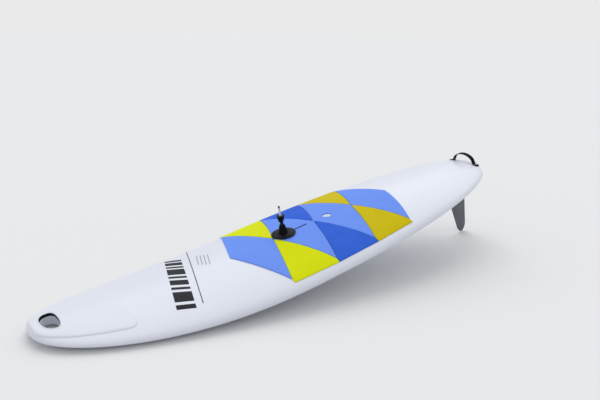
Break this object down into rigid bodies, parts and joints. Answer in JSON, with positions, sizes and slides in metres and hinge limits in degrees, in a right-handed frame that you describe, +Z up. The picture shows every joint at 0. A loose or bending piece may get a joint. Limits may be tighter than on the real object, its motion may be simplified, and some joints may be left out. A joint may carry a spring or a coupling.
{
  "type": "windsurf board",
  "caption": "Wide windsurf board lying on its bottom and fin tip, with an argyle deck pad, nose hand hole, sliding mast foot, tail handle and fin.",
  "frame": {"origin": "middle of the footprint's bounding box, on the floor that the board stands on", "axes": "+X from tail to nose, +Y to port, +Z up; the board lies with its tail held up by the fin, so its deck slopes down towards the nose by 11.7 degrees"},
  "size_m": [2.5949, 0.7848, 0.5004],
  "materials": {
    "hull_white": "gloss",
    "foam": "matte",
    "guard_white": "satin",
    "eva_light_blue": "matte",
    "eva_lime": "matte",
    "eva_deep_blue": "matte",
    "eva_gold": "matte",
    "black_plastic": "satin",
    "rubber_black": "matte",
    "urethane": "satin",
    "steel": "satin",
    "brass": "satin",
    "vent_white": "satin",
    "fin_grey": "satin",
    "webbing": "matte",
    "insert_plastic": "matte"
  },
  "bodies": {
    "hull": {"foam_core": "foam", "deck_skin": "hull_white", "bottom_skin": "hull_white", "nose_guard": "guard_white", "grip_liner": "black_plastic", "pad_centre_1": "eva_light_blue", "pad_centre_2": "eva_light_blue", "pad_centre_3": "eva_light_blue", "pad_centre_4": "eva_light_blue", "pad_port_1": "eva_lime", "pad_port_2": "eva_deep_blue", "pad_port_3": "eva_gold", "pad_starboard_1": "eva_lime", "pad_starboard_2": "eva_deep_blue", "pad_starboard_3": "eva_gold", "mast_track": "black_plastic", "vent_bush": "vent_white", "fin_box": "black_plastic", "tail_handle": "webbing", "handle_washers": "steel", "handle_screws": "steel", "handle_inserts": "insert_plastic"},
    "foot_base": {"track_nut": "steel", "foot_gasket": "rubber_black", "deck_plate": "black_plastic", "foot_bolt": "steel", "foot_washer": "steel"},
    "foot_hub": {"swivel_hub": "black_plastic", "lower_cross_bolt": "steel"},
    "foot_tendon": {"flex_tendon": "urethane"},
    "foot_cup": {"upper_cup": "black_plastic", "upper_cross_bolt": "steel", "mast_pin": "steel", "pin_tip": "black_plastic"},
    "vent_ring": {"vent_seal": "rubber_black"},
    "vent_plug": {"vent_screw": "vent_white"},
    "fin_blade": {"fin": "fin_grey", "fin_pin": "brass", "fin_screw": "steel", "fin_nut": "brass"}
  },
  "joints": [
    {"name": "foot_slide", "type": "slide", "parent": "hull", "child": "foot_base", "axis": [0.9793, 0, -0.2026], "range_m": [-0.12, 0.015]},
    {"name": "foot_swivel", "type": "hinge", "parent": "foot_base", "child": "foot_hub", "pos_m": [0.06737, 0, 0.24537], "axis": [0.2026, 0, 0.9793], "continuous": true},
    {"name": "foot_bend_fore_aft", "type": "hinge", "parent": "foot_hub", "child": "foot_tendon", "pos_m": [0.07588, 0, 0.2865], "axis": [0, 1, 0], "range_deg": [-50, 50], "stiffness_Nm_per_rad": 1.5, "deforming": ["flex_tendon"]},
    {"name": "foot_bend_sideways", "type": "hinge", "parent": "foot_tendon", "child": "foot_cup", "pos_m": [0.07588, 0, 0.2865], "axis": [0.9793, 0, -0.2026], "range_deg": [-50, 50], "stiffness_Nm_per_rad": 1.5},
    {"name": "vent_lift", "type": "slide", "parent": "hull", "child": "vent_ring", "axis": [0.2026, 0, 0.9793], "range_m": [0, 0.00375]},
    {"name": "vent_turn", "type": "hinge", "parent": "vent_ring", "child": "vent_plug", "pos_m": [-0.2061, 0, 0.27594], "axis": [0.2026, 0, 0.9793], "range_deg": [0, 1081]},
    {"name": "fin_shift", "type": "slide", "parent": "hull", "child": "fin_blade", "axis": [0.9629, 0, -0.2698], "range_m": [-0.01, 0.01]}
  ],
  "couplings": [
    {"joint": "vent_turn", "follows": "vent_lift", "rad_per_m": 5026.5}
  ]
}
